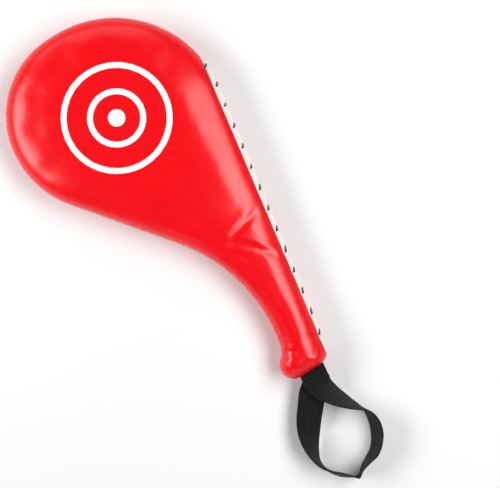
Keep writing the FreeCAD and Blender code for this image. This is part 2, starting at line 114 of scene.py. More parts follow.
def make_lights():
    area_light("right_softbox", in_view(0.60, 0.12, 0.95), (0.03, 0.07, 0), (1.05, 0.50), 10.6)
    area_light("left_softbox", in_view(-1.0, 0.05, 0.78), (0.0, 0.12, 0), (0.9, 0.50), 10.2)
    area_light("top_softbox", in_view(-0.4, 1.2, 0.8), (0, 0.1, 0), (1.4, 0.5), 3)
    area_light("fill_softbox", in_view(0.1, -1.3, 0.8), (0, 0, 0), (1.6, 0.5), 2)
    world = bpy.data.worlds.new("studio")
    world.use_nodes = True
    tree = world.node_tree
    split = tree.nodes.new("ShaderNodeSeparateXYZ")
    fade = tree.nodes.new("ShaderNodeMapRange")
    fade.interpolation_type = "SMOOTHSTEP"
    for socket, value in (("From Min", 0.0), ("From Max", 0.4), ("To Min", 0.85), ("To Max", 0.03)):
        fade.inputs[socket].default_value = value
    tree.links.new(tree.nodes.new("ShaderNodeTexCoord").outputs["Generated"], split.inputs[0])
    tree.links.new(split.outputs["Z"], fade.inputs["Value"])
    tree.links.new(fade.outputs["Result"], tree.nodes["Background"].inputs["Strength"])
    tree.nodes["Background"].inputs["Color"].default_value = (1, 1, 1, 1)
    scene.world = world
    scene.view_settings.view_transform = "Standard"


# ---------------------------------------------------------------- materials

class Nodes:
    """A material's node tree with one call per node."""

    def __init__(self, name):
        self.material = bpy.data.materials.new(name)
        self.material.use_nodes = True
        self.tree = self.material.node_tree
        self.shader = self.tree.nodes["Principled BSDF"]

    def add(self, kind, inputs=None, **settings):
        node = self.tree.nodes.new(kind)
        for key, value in settings.items():
            setattr(node, key, value)
        for key, value in (inputs or {}).items():
            self.put(node.inputs[key], value)
        return node

    def put(self, socket, value):
        if isinstance(value, bpy.types.NodeSocket):
            self.tree.links.new(value, socket)
        else:
            socket.default_value = value

    def set(self, **inputs):
        for key, value in inputs.items():
            self.put(self.shader.inputs[key.replace("_", " ")], value)

    def place(self):
        return self.add("ShaderNodeTexCoord").outputs["Object"]

    def uv(self):
        return self.add("ShaderNodeUVMap", uv_map="UVMap").outputs["UV"]

    def noise(self, vector, scale, detail=3.0, roughness=0.5):
        node = self.add("ShaderNodeTexNoise", {"Vector": vector, "Scale": scale, "Detail": detail,
                                               "Roughness": roughness})
        return node.outputs["Fac"]

    def math(self, operation, *values):
        return self.add("ShaderNodeMath", dict(enumerate(values)), operation=operation).outputs[0]

    def remap(self, value, low, high, to_low, to_high):
        node = self.add("ShaderNodeMapRange", {"Value": value, "From Min": low, "From Max": high,
                                               "To Min": to_low, "To Max": to_high})
        return node.outputs["Result"]

    def mix(self, factor, first, second):
        node = self.add("ShaderNodeMix", data_type="RGBA")
        self.put(node.inputs[0], factor)
        self.put(node.inputs[6], first)
        self.put(node.inputs[7], second)
        return node.outputs[2]

    def bump(self, height, strength, distance, normal=None):
        inputs = {"Height": height, "Strength": strength, "Distance": distance}
        if normal is not None:
            inputs["Normal"] = normal
        return self.add("ShaderNodeBump", inputs).outputs["Normal"]


def vinyl(name, colour, shade, roughness, seam_shade_and_wear):
    """Coated vinyl: fine pebbled grain, faint mottling, and a duller, darker line at its seams, which is
    painted shade of the seam mixed with scuffing.
    """
    n = Nodes(name)
    place = n.place()
    cells = n.add("ShaderNodeTexVoronoi", {"Vector": place, "Scale": 1150.0, "Randomness": 0.9},
                  feature="SMOOTH_F1").outputs["Distance"]
    fine = n.noise(place, 2600.0, 2.0)
    soft = n.noise(place, 26.0, 3.0)
    scuff = n.noise(place, 160.0, 5.0, 0.62)
    edge = n.add("ShaderNodeAttribute", attribute_name="edge").outputs["Fac"]
    mottled = n.mix(n.remap(soft, 0.3, 0.7, 0.0, 1.0), colour, shade)
    # The seam line is painted darker: painted shade where the panels meet, broken up by scuffing.
    seam_shade_and_wear_mask = n.math("MULTIPLY", edge, n.remap(scuff, 0.35, 0.7, 0.55, 1.0))
    n.set(Base_Color=n.mix(n.math("MULTIPLY", seam_shade_and_wear_mask, 0.75), mottled, seam_shade_and_wear),
          Roughness=n.math("ADD", n.remap(scuff, 0.3, 0.7, roughness - 0.02, roughness + 0.03),
                           n.math("MULTIPLY", edge, 0.1)),
          Specular_IOR_Level=0.52)
    grain = n.math("ADD", n.math("MULTIPLY", cells, 0.8), n.math("MULTIPLY", fine, 0.35))
    slack = n.bump(soft, 0.08, 0.003)
    n.set(Normal=n.bump(grain, 0.10, 0.0002, slack))
    return n.material


def thread(name, colour, shade, scale):
    """Twisted thread: strands wound round the line of the thread, with stray fibres."""
    n = Nodes(name)
    place = n.place()
    split = n.add("ShaderNodeSeparateXYZ", {"Vector": n.uv()})
    turn = n.math("ADD", n.math("MULTIPLY", split.outputs["X"], 6.2832 * 3),
                  n.math("MULTIPLY", split.outputs["Y"], 6.2832 * scale))
    strand = n.math("SINE", turn)
    fibre = n.noise(place, 5200.0, 3.0)
    n.set(Base_Color=n.mix(n.remap(fibre, 0.3, 0.7, 0.0, 1.0), colour, shade),
          Roughness=n.remap(fibre, 0.3, 0.7, 0.42, 0.66), Sheen_Weight=0.25)
    height = n.math("ADD", strand, n.math("MULTIPLY", fibre, 0.8))
    n.set(Normal=n.bump(height, 0.5, 0.00012))
    return n.material


def webbing():
    """Herringbone nylon: diagonal ribs that change hand every 3 mm, between two plain edges."""
    n = Nodes("webbing_black")
    place = n.place()
    split = n.add("ShaderNodeSeparateXYZ", {"Vector": n.uv()})
    across, along = split.outputs["X"], split.outputs["Y"]
    fold = n.math("ABSOLUTE", n.math("SUBTRACT", n.math("FRACT", n.math("MULTIPLY", across, 4.0)),
                                     0.5))
    rib = n.math("SINE", n.math("ADD", n.math("MULTIPLY", along, 6.2832 / 2.6),
                                n.math("MULTIPLY", fold, 6.2832 * 2.4)))
    yarn = n.math("SINE", n.math("MULTIPLY", across, 6.2832 * 26))
    fuzz = n.noise(place, 4200.0, 3.0)
    patch = n.noise(place, 70.0, 3.0)
    weave = n.math("ADD", rib, n.math("MULTIPLY", yarn, 0.45))
    light = n.remap(n.math("ADD", weave, n.math("MULTIPLY", fuzz, 1.6)), 0.0, 2.6, 0.0, 1.0)
    light = n.math("MULTIPLY", light, n.remap(patch, 0.3, 0.7, 0.7, 1.0))
    n.set(Base_Color=n.mix(light, (0.0006, 0.0006, 0.0007, 1), (0.045, 0.045, 0.047, 1)),
          Roughness=n.remap(fuzz, 0.3, 0.7, 0.5, 0.75), Sheen_Weight=0.05, Sheen_Roughness=0.4,
          Specular_IOR_Level=0.15)
    n.set(Normal=n.bump(n.math("ADD", weave, fuzz), 1.0, 0.0004))
    return n.material


def foam(name, colour, shade, cell):
    """Cut foam: open pores over a faint mottle, with the pores painted darker as shade in their hollows.
    """
    n = Nodes(name)
    place = n.place()
    pores = n.add("ShaderNodeTexVoronoi", {"Vector": place, "Scale": cell}).outputs["Distance"]
    soft = n.noise(place, 60.0, 3.0)
    # Darker where the bump sinks into a pore: painted shade in the hollows.
    n.set(Base_Color=n.mix(n.math("ADD", n.math("MULTIPLY", pores, 0.6),
                                  n.math("MULTIPLY", soft, 0.5)), shade, colour),
          Roughness=n.remap(pores, 0.0, 0.8, 0.95, 0.8),
          Normal=n.bump(pores, 0.6, 0.0005))
    return n.material


def board():
    n = Nodes("board_plastic")
    place = n.place()
    scratch = n.noise(place, 900.0, 4.0, 0.7)
    n.set(Base_Color=n.mix(n.remap(scratch, 0.35, 0.7, 0.0, 1.0), (0.012, 0.012, 0.014, 1),
                           (0.03, 0.03, 0.033, 1)),
          Roughness=n.remap(scratch, 0.3, 0.7, 0.35, 0.55), Normal=n.bump(scratch, 0.2, 0.0001))
    return n.material


def screen_print():
    """Screen ink: opaque white, a little thin in places, over the vinyl's grain."""
    n = Nodes("print_white")
    place = n.place()
    cells = n.add("ShaderNodeTexVoronoi", {"Vector": place, "Scale": 1150.0, "Randomness": 0.9},
                  feature="SMOOTH_F1").outputs["Distance"]
    thin = n.noise(place, 420.0, 4.0, 0.6)
    n.set(Base_Color=n.mix(n.remap(thin, 0.58, 0.8, 0.0, 0.35), (0.9, 0.9, 0.89, 1),
                           (0.9, 0.55, 0.55, 1)),
          Roughness=n.remap(thin, 0.3, 0.7, 0.48, 0.6), Normal=n.bump(cells, 0.12, 0.0002))
    return n.material


def studio_paper():
    n = Nodes("studio_paper")
    place = n.place()
    soft = n.noise(place, 3.0, 2.0)
    away = n.add("ShaderNodeVectorMath", {0: place}, operation="LENGTH").outputs["Value"]
    # The paper glows more the further it lies from the middle of the scene: painted light that keeps the
    # distant floor bright.
    n.set(Base_Color=n.mix(soft, (0.90, 0.90, 0.90, 1), (0.93, 0.93, 0.93, 1)), Roughness=0.9,
          Specular_IOR_Level=0.1, Emission_Color=(1, 1, 1, 1),
          Emission_Strength=n.remap(away, 0.55, 1.6, 0.0, 0.85))
    return n.material


# The last colour of each vinyl is its painted seam shade, mixed with scuffing.
VINYL_RED = vinyl("vinyl_red", (0.88, 0.003, 0.008, 1), (0.82, 0.002, 0.007, 1), 0.26,
                  (0.30, 0.002, 0.004, 1))
VINYL_WHITE = vinyl("vinyl_white", (0.86, 0.85, 0.82, 1), (0.80, 0.785, 0.75, 1), 0.52,
                    (0.42, 0.38, 0.34, 1))
THREAD_BLACK = thread("thread_black", (0.006, 0.006, 0.007, 1), (0.03, 0.03, 0.032, 1), 0.8)
THREAD_RED = thread("thread_red", (0.34, 0.006, 0.012, 1), (0.16, 0.004, 0.008, 1), 1.6)
WEBBING = webbing()
# Each foam's second colour is the painted shade in its pores.
FOAM_SOFT = foam("foam_soft", (0.80, 0.78, 0.70, 1), (0.45, 0.43, 0.36, 1), 700.0)
FOAM_FIRM = foam("foam_firm", (0.20, 0.20, 0.22, 1), (0.08, 0.08, 0.09, 1), 1500.0)
BOARD = board()
PRINT = screen_print()


# ---------------------------------------------------------------- the paddle's outline

def unit(degrees):
    return np.array([math.cos(math.radians(degrees)), math.sin(math.radians(degrees))])


def outline(neck_line, end_line):
    """The outline's stretches as (radius, sweep) or a length, anticlockwise from the top."""
    return [(83.6, 77.2), (92, 44.9), neck_line, (157.5, -49.9), (24.4, -37.4), (13.2, 139.8),
            end_line, (HEEL, 79.7), LACED_LENGTH, (SHOULDER, 92.8), (130.6, 12.9)]


def walk(steps, spacing):
    """Points, headings, distances and stretch numbers along the outline."""
    point, heading, run = TIP, 180.0, 0.0
    rows = []
    for number, step in enumerate(steps):
        length = step if not isinstance(step, tuple) else step[0] * math.radians(abs(step[1]))
        count = max(2, int(abs(length) / spacing))
        for k in range(count):
            share = k / count
            if isinstance(step, tuple):
                side = math.copysign(1, step[1])
                centre = point + unit(heading + 90 * side) * step[0]
                spot = centre + unit(heading - 90 * side + step[1] * share) * step[0]
                turn = heading + step[1] * share
            else:
                spot, turn = point + unit(heading) * step * share, heading
            rows.append((*spot, turn, run + length * share, number))
        if isinstance(step, tuple):
            side = math.copysign(1, step[1])
            centre = point + unit(heading + 90 * side) * step[0]
            point = centre + unit(heading - 90 * side + step[1]) * step[0]
            heading += step[1]
        else:
            point = point + unit(heading) * step
        run += length
    rows.append((*point, heading, run, len(steps) - 1))
    return np.array(rows)


def close_outline():
    """The straight stretches of the neck and the end that bring the walk back to its start."""
    rows = walk(outline(0, 0), 1000)
    gap = rows[0, :2] - rows[-1, :2]
    neck = unit(180 + 77.2 + 44.9)
    end = unit(180 + 77.2 + 44.9 - 49.9 - 37.4 + 139.8)
    return np.linalg.solve(np.column_stack([neck, end]), gap)


NECK_LINE, END_LINE = close_outline()
EDGE = walk(outline(NECK_LINE, END_LINE), 0.25)
RUN = EDGE[:, 3]
TOTAL = RUN[-1]
LACED_TOP = RUN[EDGE[:, 4] == 9][0]
END_RUN = (RUN[EDGE[:, 4] == 6][0] + RUN[EDGE[:, 4] == 7][0]) / 2 + 1.3
SPINE = np.array([(1, -124), (10, -108), (16.5, -88), (23, -45), (25, -15), (23, 20), (12.5, 80),
                  (4, 130), (1, 158.2)])


def edge_at(run):
    """Place and inward direction on the outline at given distances along it."""
    x, y, heading = (np.interp(run, RUN, EDGE[:, k]) for k in range(3))
    inward = np.radians(heading + 90)
    return np.column_stack([x, y]), np.column_stack([np.cos(inward), np.sin(inward)])


# Where the spokes stop fanning out round the head, where they crowd at the waist, and where they end.
FAN_TOP, WAIST, FAN_FOOT = 158.2, -92, -124


class Spokes:
    """Lines from points along the outline to points on the paddle's spine."""

    def __init__(self, step):
        levels = np.concatenate([np.arange(FAN_TOP, 20, -1.6 * step),
                                 np.arange(20, WAIST, -1.25 * step),
                                 np.arange(WAIST, FAN_FOOT, -1.0 * step), [FAN_FOOT]])
        low = np.argmax((EDGE[:, 4] >= 5) & (EDGE[:, 1] < FAN_FOOT))
        left = slice(np.argmax(EDGE[:, 1] < FAN_TOP), low + 1)
        left_run = np.interp(-levels, -EDGE[left, 1], RUN[left])
        right = EDGE[:, 4] >= 8
        right_run = np.interp(levels, EDGE[right, 1][:np.argmax(EDGE[right, 1])],
                              RUN[right][:np.argmax(EDGE[right, 1])])
        fans = [np.linspace(a, b, int((b - a) / (1.6 * step)) + 2)[1:-1] for a, b in
                ((0, left_run[0]), (left_run[-1], right_run[-1]), (right_run[0], TOTAL))]
        last = len(levels) - 1
        self.run = np.concatenate([[0], fans[0], left_run, fans[1], right_run[::-1], fans[2]])
        self.level = np.concatenate([[0], 0 * fans[0], np.arange(last + 1), 0 * fans[1] + last,
                                     np.arange(last, -1, -1), 0 * fans[2]]).astype(int)
        self.spine = np.column_stack([np.interp(levels, SPINE[:, 1], SPINE[:, 0]), levels])
        self.foot, self.inward = edge_at(self.run)
        line = self.spine[self.level] - self.foot
        self.length = np.linalg.norm(line, axis=1)
        self.way = line / self.length[:, None]
        self.slant = np.clip(np.sum(self.way * self.inward, axis=1), 0.35, 1)
        self.down = LACED_TOP - self.run


def smooth(value, low, high):
    t = np.clip((value - low) / (high - low), 0, 1)
    return t * t * (3 - 2 * t)


def half_height(y):
    return HANDLE_HALF + (HEAD_HALF - HANDLE_HALF) * smooth(y, RAMP_FOOT, RAMP_TOP)


def round_width(y, laced):
    """How far in from the edge the padding still falls away; further on the laced side."""
    head = smooth(y, RAMP_FOOT - 10, RAMP_TOP + 40)
    return 16.5 + 11.5 * head + laced * (5.5 + 8.5 * head)


def laced_share(down):
    """1 along the lacing, fading to 0 round the top of the head and the heel."""
    return smooth(down, -150, -20) * (1 - smooth(down, LACED_LENGTH, LACED_LENGTH + 22))


def flap_width(down):
    """How far the white flap reaches in from the edge, tapering at the shoulder and heel."""
    width = FLAP + (FLAP_FOOT - FLAP) * down / LACED_LENGTH
    shoulder = SHOULDER - (SHOULDER - FLAP) / np.cos(np.clip(-down / SHOULDER, 0, 1.2))
    heel = HEEL - (HEEL - FLAP_FOOT) / np.cos(np.clip((down - LACED_LENGTH) / HEEL, 0, 1.4))
    width = np.where(down < 0, shoulder, width)
    width = np.where(down > LACED_LENGTH, heel, width)
    return np.clip(width, 0, None)


def mouth_share(run):
    """1 where the strap leaves the handle's end, 0 elsewhere."""
    return 1 - smooth(np.abs(run - END_RUN), 12.5, 17.0)


def scallop(down):
    """How far the lacing pulls the edge in; negative where it bellies out between stitches."""
    last = FIRST_STITCH + PITCH * (STITCHES - 1)
    place = np.clip(down, FIRST_STITCH, last)
    share = np.mod((place - FIRST_STITCH) / PITCH + 0.5, 1) - 0.5
    fade = smooth(down, FIRST_STITCH - 12, FIRST_STITCH) * (1 - smooth(down, last, last + 10))
    return (2.7 * (1 - np.abs(np.sin(np.pi * share))) ** 1.5 - 0.9) * fade


def waves(run, lengths, seed):
    random = np.random.RandomState(seed)
    total = np.zeros_like(run)
    for length in lengths:
        total += np.sin(2 * np.pi * (run / length + random.rand())) * (0.6 + 0.4 * random.rand())
    return total / len(lengths)


def profile(y, reach, down, thin=0.0):
    """The padded section from the seam to the spine: inset, height and distance along it."""
    top = half_height(y) - thin
    laced = laced_share(down)
    roof = 1 - smooth(y, RAMP_FOOT - 30, RAMP_TOP)
    power = 2 / (2.15 - 0.2 * laced - (0.15 + 0.1 * laced) * roof)
    width = min(round_width(y, laced) - 0.5 * thin, 0.97 * reach)
    turn = np.linspace(0, np.pi / 2, 90)
    inset = width * (1 - np.cos(turn) ** power)
    height = np.sin(turn) ** power
    inset = np.append(inset, max(reach, width + 0.01))
    height = np.append(height, 1.0)
    steps = np.hypot(np.diff(inset), np.diff(height * top))
    return inset, height, np.concatenate([[0], np.cumsum(steps)])


def groove(x, y, points, depth, width):
    """A crease along a run of straight lines, fading at both ends."""
    best = np.full_like(x, 1e9)
    share = np.zeros_like(x)
    lengths = [math.dist(a, b) for a, b in zip(points, points[1:])]
    done = 0.0
    for (ax, ay), (bx, by), length in zip(points, points[1:], lengths):
        t = np.clip(((x - ax) * (bx - ax) + (y - ay) * (by - ay)) / length ** 2, 0, 1)
        away = np.hypot(x - ax - t * (bx - ax), y - ay - t * (by - ay))
        closer = away < best
        best = np.where(closer, away, best)
        share = np.where(closer, (done + t * length) / sum(lengths), share)
        done += length
    fade = smooth(share, 0.0, 0.25) * (1 - smooth(share, 0.75, 1.0))
    return -depth * fade * np.exp(-(best / width) ** 2)


CREASES = [
    ([(10.0, 0.5), (24.0, 2.0), (36.0, 3.5), (46.0, 5.3), (56.0, 8.0)], 1.2, 3.6),
    ([(6.0, 0.5), (20.0, -8.0), (29.0, -19.0), (37.0, -32.0), (42.0, -44.0)], 1.5, 3.4),
    ([(1.0, -3.0), (12.0, -14.0), (22.0, -29.0)], 0.7, 3.0),
    ([(-15.0, -114.0), (-8.0, -112.5), (-3.0, -117.0), (-3.5, -125.0)], 1.3, 2.8),
    ([(4.0, -135.0), (14.0, -129.0), (24.0, -126.0)], 0.4, 4.0),
]


GRID_STEP = 4.0
GRID_X = np.arange(-104, 105, GRID_STEP)
GRID_Y = np.arange(-148, 257, GRID_STEP)
SWELL = {}


def swell(x, y, side):
    """How far the simulated cover stands above the CAD height, in millimetres."""
    if side not in SWELL:
        return np.zeros_like(x)
    across = np.clip((x - GRID_X[0]) / GRID_STEP, 0, len(GRID_X) - 1.001)
    along = np.clip((y - GRID_Y[0]) / GRID_STEP, 0, len(GRID_Y) - 1.001)
    i, j = across.astype(int), along.astype(int)
    u, v = smooth(across - i, 0, 1), smooth(along - j, 0, 1)
    grid = SWELL[side]
    low = grid[i, j] * (1 - u) + grid[i + 1, j] * u
    return low * (1 - v) + (grid[i, j + 1] * (1 - u) + grid[i + 1, j + 1] * u) * v


def slack(x, y, side):
    """The cover's gentle unevenness over the padding."""
    turned = 1.0 if side > 0 else 0.86
    total = swell(x, y, side)
    total += 0.22 * np.sin(x / 17.0 + 0.8 * side) * np.sin(y / 23.0 + 1.1 * side)
    total += 0.30 * np.sin((x + y) / 13.0) * np.exp(-((y + 20) / 60) ** 2)
    for points, depth, width in CREASES:
        total += turned * groove(x, y, points, depth, width)
        total -= 0.28 * turned * groove(x, y, [(a, b + 1.9 * width) for a, b in points], depth,
                                        1.2 * width)
    return total


# ---------------------------------------------------------------- meshes

def mesh_points(mesh):
    """A mesh's points, in millimetres."""
    flat = np.zeros(len(mesh.vertices) * 3)
    mesh.vertices.foreach_get("co", flat)
    return flat.reshape(-1, 3) / MM


def add_mesh(name, points, faces, material, values=None, uvs=None, smooth_shading=True):
    """A mesh object from points in millimetres. values is a number per point, kept as 'edge', for the
    painted seam shade and scuffing.
    """
    mesh = bpy.data.meshes.new(name)
    mesh.from_pydata([tuple(p) for p in np.asarray(points) * MM], [], faces)
    mesh.validate()
    if values is not None:
        attribute = mesh.attributes.new("edge", "FLOAT", "POINT")
        attribute.data.foreach_set("value", np.asarray(values, np.float32))
    if uvs is not None:
        layer = mesh.uv_layers.new(name="UVMap")
        corners = np.zeros(len(mesh.loops), int)
        mesh.loops.foreach_get("vertex_index", corners)
        layer.data.foreach_set("uv", np.asarray(uvs, np.float32)[corners].ravel())
    if smooth_shading:
        mesh.shade_smooth()
    obj = bpy.data.objects.new(name, mesh)
    scene.collection.objects.link(obj)
    obj.data.materials.append(material)
    return obj


def grid_faces(columns, rows, closed):
    faces = []
    for i in range(columns if closed else columns - 1):
        j = (i + 1) % columns
        for k in range(rows - 1):
            faces.append((i * rows + k, j * rows + k, j * rows + k + 1, i * rows + k + 1))
    return faces


def flip(faces):
    return [tuple(reversed(face)) for face in faces]


def add_wall(obj, thickness):
    solid = obj.modifiers.new("wall", "SOLIDIFY")
    solid.thickness = thickness * MM
    solid.offset = -1
    solid.use_quality_normals = True
    return obj


FLANGE = np.array([(6.2, 0.0), (3.6, 0.0), (1.7, 0.05)])
RINGS = 36


def edge_pull(spokes, i, arcs, heights, side):
    """How far the surface is drawn in at the seam or the lacing."""
    down = spokes.down[i]
    laced = flap_width(np.array([down]))[0] > 0
    pull = scallop(np.array([down]))[0] * np.exp(-(heights / 5.0) ** 2)
    if not laced:
        ripple = PUCKER[side][i]
        pull = pull + 0.9 * np.exp(-(arcs / 1.1) ** 2) + ripple * np.exp(-arcs / 8.0)
    return pull


def cover_points(spokes, side):
    """The red panel: a flange turned in at the seam, then rings from the edge to the spine."""
    count = len(spokes.run)
    points = np.zeros((count, len(FLANGE) + RINGS, 3))
    edge = np.zeros((count, len(FLANGE) + RINGS))
    flap = flap_width(spokes.down)
    mouth = mouth_share(spokes.run)
    for i in range(count):
        foot, way, slant = spokes.foot[i], spokes.way[i], spokes.slant[i]
        reach = spokes.length[i] * slant
        inset, height, arcs = profile(foot[1], reach, spokes.down[i])
        top = half_height(foot[1])
        lift = 0.12 + (3.35 - 0.12) * mouth[i]
        start = max(np.interp(lift / top, height, arcs), np.interp(flap[i], inset, arcs))
        room = arcs[-1] - start
        fine = min(0.9, 0.75 * room / RINGS)
        share = np.arange(RINGS)
        ring = start + fine * share + (room - fine * RINGS) * (share / RINGS) ** 2.3
        d = np.interp(ring, arcs, inset)
        h = np.interp(ring, arcs, height)
        pull = edge_pull(spokes, i, ring - start, h * top, side)
        xy = foot + way * (d / slant)[:, None] + spokes.inward[i] * pull[:, None]
        z = half_height(xy[:, 1]) * h + slack(xy[:, 0], xy[:, 1], side) * h ** 2
        z += 0.55 * np.exp(-(ring - start) / 9.0) * PUCKER[side][i] * h
        points[i, 3:] = np.column_stack([xy, z])
        flange_xy = foot + spokes.inward[i] * (FLANGE[:, :1] + pull[0] * 0.3)
        points[i, :3] = np.column_stack([flange_xy, lift + FLANGE[:, 1]])
        # Where the painted seam shade and scuffing show: at the panel's edge and all over its turned-in
        # flange.
        edge[i, 3:] = np.exp(-((ring - start) / (1.1 if flap[i] > 0 else 1.7)) ** 2)
        edge[i, :3] = 1
    return points, edge, flap


def make_cover(side, name, node):
    spokes = SPOKES
    points, edge, flap = cover_points(spokes, side)
    count, rows = points.shape[:2]
    faces = []
    for i, face in zip(np.repeat(np.arange(count), rows - 1), grid_faces(count, rows, True)):
        in_flange = (face[0] % rows) < len(FLANGE)
        if not (in_flange and (flap[i] > 0 or flap[(i + 1) % count] > 0)):
            faces.append(face)
    spine = spokes.spine
    top = half_height(spine[:, 1]) + slack(spine[:, 0], spine[:, 1], side)
    verts = np.vstack([points.reshape(-1, 3), np.column_stack([spine, top])])
    values = np.concatenate([edge.ravel(), np.zeros(len(spine))])
    base = count * rows
    for i in range(count):
        j = (i + 1) % count
        a, b = base + spokes.level[i], base + spokes.level[j]
        inner = (i * rows + rows - 1, j * rows + rows - 1)
        faces.append((*inner, b) if a == b else (*inner, b, a))
    verts[:, 2] = MID + side * verts[:, 2]
    obj = add_mesh(name, verts, faces if side > 0 else flip(faces), VINYL_RED, values)
    clean(obj)
    add_wall(obj, WALL)
    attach(obj, "paddle")
    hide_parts(node)
    return obj


def clean(obj):
    """Removes points that no face uses."""
    mesh = bmesh.new()
    mesh.from_mesh(obj.data)
    loose = [v for v in mesh.verts if not v.link_faces]
    bmesh.ops.delete(mesh, geom=loose, context="VERTS")
    mesh.to_mesh(obj.data)
    mesh.free()


def flap_section(spokes, i, side):
    """The white flap from the laced edge to under the red panel."""
    foot, way, slant = spokes.foot[i], spokes.way[i], spokes.slant[i]
    reach = spokes.length[i] * slant
    inset, height, arcs = profile(foot[1], reach, spokes.down[i])
    top = half_height(foot[1])
    stop = np.interp(flap_width(spokes.down[i:i + 1])[0], inset, arcs)
    ring = np.concatenate([[0.12, 0.5, 1.0, 1.7], np.linspace(2.5, max(stop + 4.5, 4), 16)])
    d = np.interp(ring, arcs, inset)
    h = np.interp(ring, arcs, height)
    lower = np.array([1.5, 0.75, 0.3, 0.08] + [0.0] * 16)
    pull = scallop(spokes.down[i:i + 1])[0] * np.exp(-(h * top / 5.0) ** 2) + lower
    under = 1.35 * smooth(ring, stop - 2.6, stop - 0.6)
    xy = foot + way * ((d + 0.45 * under) / slant)[:, None] + spokes.inward[i] * pull[:, None]
    z = half_height(xy[:, 1]) * h - 0.9 * under
    z += 0.25 * PUCKER[side][i] * np.exp(-((ring - 5) / 5) ** 2)
    # The second value is where the painted seam shade and scuffing show, at the flap's laced edge.
    return np.column_stack([xy, np.maximum(z, 0.12)]), np.exp(-(ring / 0.8) ** 2), ring


def make_flap(side, name, node):
    spokes = SPOKES
    used = [i for i in range(len(spokes.run)) if flap_width(spokes.down[i:i + 1])[0] > 0.25]
    sections = [flap_section(spokes, i, side) for i in used]
    points = np.array([s[0] for s in sections])
    values = np.array([s[1] for s in sections]).ravel()
    faces = grid_faces(len(used), points.shape[1], False)
    verts = points.reshape(-1, 3)
    verts[:, 2] = MID + side * verts[:, 2]
    obj = add_mesh(name, verts, faces if side > 0 else flip(faces), VINYL_WHITE, values)
    add_wall(obj, WALL)
    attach(obj, "paddle")
    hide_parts(node)
    return obj


def tube(line, radius, sides=10, flatten=1.0):
    """Points, faces and UVs of a round tube along a line of points, with rounded ends."""
    line = np.asarray(line, float)
    along = np.gradient(line, axis=0)
    along /= np.linalg.norm(along, axis=1)[:, None]
    across = np.cross(along[0], (0.3, 0.2, 1.0))
    distance = np.concatenate([[0], np.cumsum(np.linalg.norm(np.diff(line, axis=0), axis=1))])
    points, uvs = [], []
    for k, (spot, way) in enumerate(zip(line, along)):
        across = across - way * across.dot(way)
        across /= np.linalg.norm(across)
        up = np.cross(way, across)
        from_end = min(distance[k], distance[-1] - distance[k])
        size = radius * math.sqrt(max(0.06, 1 - max(0, 1 - from_end / radius) ** 2))
        for s in range(sides):
            turn = 2 * math.pi * s / sides
            points.append(spot + size * (across * math.cos(turn) + flatten * up * math.sin(turn)))
            uvs.append((s / sides, distance[k]))
    count = len(line)
    faces = []
    for k in range(count - 1):
        for s in range(sides):
            t = (s + 1) % sides
            faces.append((k * sides + s, k * sides + t, (k + 1) * sides + t, (k + 1) * sides + s))
    faces.append(tuple(reversed(range(sides))))
    faces.append(tuple((count - 1) * sides + s for s in range(sides)))
    return np.array(points), faces, np.array(uvs)


def curve_through(points, spacing):
    """A smooth line through points (Catmull-Rom), with every column carried along."""
    points = np.asarray(points, float)
    first, last = 2 * points[0] - points[1], 2 * points[-1] - points[-2]
    full = np.vstack([first, points, last])
    rows = []
    for k in range(1, len(full) - 2):
        a, b, c, d = full[k - 1:k + 3]
        count = max(2, int(np.linalg.norm((c - b)[:3]) / spacing))
        t = np.linspace(0, 1, count, endpoint=False)[:, None]
        rows.append(0.5 * (2 * b + (c - a) * t + (2 * a - 5 * b + 4 * c - d) * t ** 2
                           + (3 * b - a - 3 * c + d) * t ** 3))
    rows.append(points[-1:])
    return np.vstack(rows)


def add_tubes(name, lines, radius, material, sides=10, flatten=1.0):
    points, faces, uvs, base = [], [], [], 0
    for line in lines:
        p, f, uv = tube(line, radius, sides, flatten)
        points.append(p)
        uvs.append(uv)
        faces += [tuple(v + base for v in face) for face in f]
        base += len(p)
    return add_mesh(name, np.vstack(points), faces, material, uvs=np.vstack(uvs))


def surface_spot(down, inset, side, lift):
    """A point on the laced side's surface, given down the lacing and in from the edge."""
    foot, inward = edge_at(np.array([LACED_TOP - down]))
    foot, inward = foot[0], inward[0]
    d, height, _ = profile(foot[1], 26 + 24 * smooth(foot[1], -40, 60), down)
    top = half_height(foot[1])
    h = np.interp(inset, d, height)
    pull = scallop(np.array([down]))[0] * math.exp(-(h * top / 5.0) ** 2)
    slope = np.interp(inset + 0.1, d, height) * top - h * top
    tilt = math.atan2(slope, 0.1)
    out = -inward * math.sin(tilt) * lift
    xy = foot + inward * (inset + pull) + out
    return np.array([*xy, MID + side * (h * top + math.cos(tilt) * lift)])


def over_edge(down, lift):
    """A point just outside the laced edge, on the middle plane."""
    foot, inward = edge_at(np.array([LACED_TOP - down]))
    return np.array([*(foot[0] + inward[0] * (scallop(np.array([down]))[0] - lift)), MID])


def make_lacing():
    """One thread whipped over the edge: a slanting stitch at each notch."""
    lines = []
    for k in range(STITCHES):
        down = FIRST_STITCH + PITCH * k
        hole = 0.45 * flap_width(np.array([max(down, 0.0)]))[0]
        lean = 1.0 + 0.2 * math.sin(2.3 * k)
        spots = [surface_spot(down + 2.4 * lean, hole + 0.4, 1, -1.2),
                 surface_spot(down + 2.1 * lean, hole, 1, 0.35),
                 surface_spot(down + 1.2 * lean, 0.5 * hole, 1, 0.7),
                 surface_spot(down + 0.2 * lean, 0.15 * hole, 1, 0.75),
                 over_edge(down - 0.8 * lean, 0.7),
                 surface_spot(down - 1.6 * lean, 0.2 * hole, -1, 0.75),
                 surface_spot(down - 2.6 * lean, 0.8 * hole, -1, 0.5),
                 surface_spot(down - 3.0 * lean, hole + 0.4, -1, -1.2)]
        lines.append(curve_through(spots, 0.5))
    obj = add_tubes("lacing_thread", lines, 0.95, THREAD_BLACK)
    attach(obj, "paddle")
    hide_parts("lacing_stitches")


